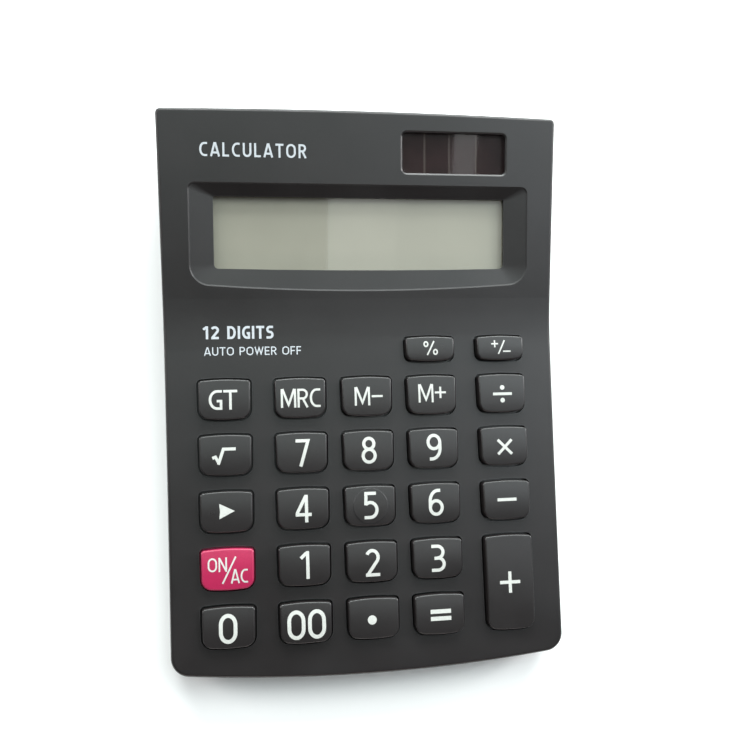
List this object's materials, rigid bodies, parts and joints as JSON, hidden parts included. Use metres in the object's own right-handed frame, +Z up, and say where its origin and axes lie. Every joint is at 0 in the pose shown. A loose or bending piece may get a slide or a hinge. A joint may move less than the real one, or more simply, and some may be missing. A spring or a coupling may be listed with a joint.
{
  "type": "pocket calculator",
  "caption": "Desk calculator with a wedge-shaped case, tilted display behind a sloping bezel, solar window and rows of sprung keys.",
  "frame": {"origin": "centre of the footprint, on the plane that the feet stand on", "axes": "+X to the user's right, +Y away from the user towards the display, +Z up"},
  "size_m": [0.1046, 0.1434, 0.0308],
  "materials": {
    "case_dark": "charcoal, fine moulded texture",
    "case_lower": "charcoal, fine moulded texture",
    "key_black": "near-black, satin",
    "key_magenta": "magenta, satin",
    "window_clear": "clear, polished",
    "lcd_glass": "grey-green",
    "lcd_film": "satin film",
    "lcd_foil": "silvered film",
    "holder": "natural white",
    "ribbon": "amber film with printed tracks",
    "solar_glass": "dark maroon, polished",
    "foam": "fine foam",
    "silicone": "translucent grey",
    "board": "green solder mask",
    "epoxy": "black, domed",
    "component": "sleeved",
    "diode_body": "moulded",
    "steel_screw": "zinc plated",
    "rubber_foot": "matte",
    "cell_can": "plain printed wrapper",
    "contact_nickel": "nickel plated",
    "lead_red": "PVC insulated",
    "lead_black": "PVC insulated"
  },
  "bodies": {
    "case": {"front_housing": "case_dark", "rear_housing": "case_lower", "display_window": "window_clear", "solar_window": "window_clear", "lcd_cell": "lcd_glass", "lcd_polariser": "lcd_film", "lcd_reflector": "lcd_foil", "lcd_retainer": "holder", "lcd_ribbon": "ribbon", "lcd_screws": "steel_screw", "solar_cell": "solar_glass", "solar_pad": "foam", "solar_leads": "lead_red", "battery_leads": "lead_black", "dome_sheet": "silicone", "main_pcb": "board", "chip_blob": "epoxy", "capacitor": "component", "diodes": "diode_body", "pcb_screws": "steel_screw", "case_screws": "steel_screw", "rubber_feet": "rubber_foot", "battery_cell": "cell_can", "battery_contact_plus": "contact_nickel", "battery_contact_minus": "contact_nickel", "battery_spring": "contact_nickel"},
    "battery_door": {"battery_door": "case_lower"},
    "key_percent": {"key_percent": "key_black"},
    "key_sign": {"key_sign": "key_black"},
    "key_gt": {"key_gt": "key_black"},
    "key_mrc": {"key_mrc": "key_black"},
    "key_m_minus": {"key_m_minus": "key_black"},
    "key_m_plus": {"key_m_plus": "key_black"},
    "key_divide": {"key_divide": "key_black"},
    "key_sqrt": {"key_sqrt": "key_black"},
    "key_7": {"key_7": "key_black"},
    "key_8": {"key_8": "key_black"},
    "key_9": {"key_9": "key_black"},
    "key_multiply": {"key_multiply": "key_black"},
    "key_backspace": {"key_backspace": "key_black"},
    "key_4": {"key_4": "key_black"},
    "key_5": {"key_5": "key_black"},
    "key_6": {"key_6": "key_black"},
    "key_minus": {"key_minus": "key_black"},
    "key_on_ac": {"key_on_ac": "key_magenta"},
    "key_1": {"key_1": "key_black"},
    "key_2": {"key_2": "key_black"},
    "key_3": {"key_3": "key_black"},
    "key_0": {"key_0": "key_black"},
    "key_00": {"key_00": "key_black"},
    "key_dot": {"key_dot": "key_black"},
    "key_equals": {"key_equals": "key_black"},
    "key_plus": {"key_plus": "key_black"}
  },
  "joints": [
    {"name": "key_percent_press", "type": "slide", "parent": "case", "child": "key_percent", "axis": [0, 0.0785, -0.9969], "range_m": [0, 0.0012], "stiffness_N_per_m": 300, "springref_m": -0.001, "deforming": ["dome_sheet"]},
    {"name": "key_sign_press", "type": "slide", "parent": "case", "child": "key_sign", "axis": [0, 0.0785, -0.9969], "range_m": [0, 0.0012], "stiffness_N_per_m": 300, "springref_m": -0.001, "deforming": ["dome_sheet"]},
    {"name": "key_gt_press", "type": "slide", "parent": "case", "child": "key_gt", "axis": [0, 0.0785, -0.9969], "range_m": [0, 0.0012], "stiffness_N_per_m": 300, "springref_m": -0.001, "deforming": ["dome_sheet"]},
    {"name": "key_mrc_press", "type": "slide", "parent": "case", "child": "key_mrc", "axis": [0, 0.0785, -0.9969], "range_m": [0, 0.0012], "stiffness_N_per_m": 300, "springref_m": -0.001, "deforming": ["dome_sheet"]},
    {"name": "key_m_minus_press", "type": "slide", "parent": "case", "child": "key_m_minus", "axis": [0, 0.0785, -0.9969], "range_m": [0, 0.0012], "stiffness_N_per_m": 300, "springref_m": -0.001, "deforming": ["dome_sheet"]},
    {"name": "key_m_plus_press", "type": "slide", "parent": "case", "child": "key_m_plus", "axis": [0, 0.0785, -0.9969], "range_m": [0, 0.0012], "stiffness_N_per_m": 300, "springref_m": -0.001, "deforming": ["dome_sheet"]},
    {"name": "key_divide_press", "type": "slide", "parent": "case", "child": "key_divide", "axis": [0, 0.0785, -0.9969], "range_m": [0, 0.0012], "stiffness_N_per_m": 300, "springref_m": -0.001, "deforming": ["dome_sheet"]},
    {"name": "key_sqrt_press", "type": "slide", "parent": "case", "child": "key_sqrt", "axis": [0, 0.0785, -0.9969], "range_m": [0, 0.0012], "stiffness_N_per_m": 300, "springref_m": -0.001, "deforming": ["dome_sheet"]},
    {"name": "key_7_press", "type": "slide", "parent": "case", "child": "key_7", "axis": [0, 0.0785, -0.9969], "range_m": [0, 0.0012], "stiffness_N_per_m": 300, "springref_m": -0.001, "deforming": ["dome_sheet"]},
    {"name": "key_8_press", "type": "slide", "parent": "case", "child": "key_8", "axis": [0, 0.0785, -0.9969], "range_m": [0, 0.0012], "stiffness_N_per_m": 300, "springref_m": -0.001, "deforming": ["dome_sheet"]},
    {"name": "key_9_press", "type": "slide", "parent": "case", "child": "key_9", "axis": [0, 0.0785, -0.9969], "range_m": [0, 0.0012], "stiffness_N_per_m": 300, "springref_m": -0.001, "deforming": ["dome_sheet"]},
    {"name": "key_multiply_press", "type": "slide", "parent": "case", "child": "key_multiply", "axis": [0, 0.0785, -0.9969], "range_m": [0, 0.0012], "stiffness_N_per_m": 300, "springref_m": -0.001, "deforming": ["dome_sheet"]},
    {"name": "key_backspace_press", "type": "slide", "parent": "case", "child": "key_backspace", "axis": [0, 0.0785, -0.9969], "range_m": [0, 0.0012], "stiffness_N_per_m": 300, "springref_m": -0.001, "deforming": ["dome_sheet"]},
    {"name": "key_4_press", "type": "slide", "parent": "case", "child": "key_4", "axis": [0, 0.0785, -0.9969], "range_m": [0, 0.0012], "stiffness_N_per_m": 300, "springref_m": -0.001, "deforming": ["dome_sheet"]},
    {"name": "key_5_press", "type": "slide", "parent": "case", "child": "key_5", "axis": [0, 0.0785, -0.9969], "range_m": [0, 0.0012], "stiffness_N_per_m": 300, "springref_m": -0.001, "deforming": ["dome_sheet"]},
    {"name": "key_6_press", "type": "slide", "parent": "case", "child": "key_6", "axis": [0, 0.0785, -0.9969], "range_m": [0, 0.0012], "stiffness_N_per_m": 300, "springref_m": -0.001, "deforming": ["dome_sheet"]},
    {"name": "key_minus_press", "type": "slide", "parent": "case", "child": "key_minus", "axis": [0, 0.0785, -0.9969], "range_m": [0, 0.0012], "stiffness_N_per_m": 300, "springref_m": -0.001, "deforming": ["dome_sheet"]},
    {"name": "key_on_ac_press", "type": "slide", "parent": "case", "child": "key_on_ac", "axis": [0, 0.0785, -0.9969], "range_m": [0, 0.0012], "stiffness_N_per_m": 300, "springref_m": -0.001, "deforming": ["dome_sheet"]},
    {"name": "key_1_press", "type": "slide", "parent": "case", "child": "key_1", "axis": [0, 0.0785, -0.9969], "range_m": [0, 0.0012], "stiffness_N_per_m": 300, "springref_m": -0.001, "deforming": ["dome_sheet"]},
    {"name": "key_2_press", "type": "slide", "parent": "case", "child": "key_2", "axis": [0, 0.0785, -0.9969], "range_m": [0, 0.0012], "stiffness_N_per_m": 300, "springref_m": -0.001, "deforming": ["dome_sheet"]},
    {"name": "key_3_press", "type": "slide", "parent": "case", "child": "key_3", "axis": [0, 0.0785, -0.9969], "range_m": [0, 0.0012], "stiffness_N_per_m": 300, "springref_m": -0.001, "deforming": ["dome_sheet"]},
    {"name": "key_0_press", "type": "slide", "parent": "case", "child": "key_0", "axis": [0, 0.0785, -0.9969], "range_m": [0, 0.0012], "stiffness_N_per_m": 300, "springref_m": -0.001, "deforming": ["dome_sheet"]},
    {"name": "key_00_press", "type": "slide", "parent": "case", "child": "key_00", "axis": [0, 0.0785, -0.9969], "range_m": [0, 0.0012], "stiffness_N_per_m": 300, "springref_m": -0.001, "deforming": ["dome_sheet"]},
    {"name": "key_dot_press", "type": "slide", "parent": "case", "child": "key_dot", "axis": [0, 0.0785, -0.9969], "range_m": [0, 0.0012], "stiffness_N_per_m": 300, "springref_m": -0.001, "deforming": ["dome_sheet"]},
    {"name": "key_equals_press", "type": "slide", "parent": "case", "child": "key_equals", "axis": [0, 0.0785, -0.9969], "range_m": [0, 0.0012], "stiffness_N_per_m": 300, "springref_m": -0.001, "deforming": ["dome_sheet"]},
    {"name": "key_plus_press", "type": "slide", "parent": "case", "child": "key_plus", "axis": [0, 0.0785, -0.9969], "range_m": [0, 0.0012], "stiffness_N_per_m": 300, "springref_m": -0.001, "deforming": ["dome_sheet"]},
    {"name": "battery_door_slide", "type": "slide", "parent": "case", "child": "battery_door", "axis": [0, 1, 0], "range_m": [0, 0.024]}
  ]
}
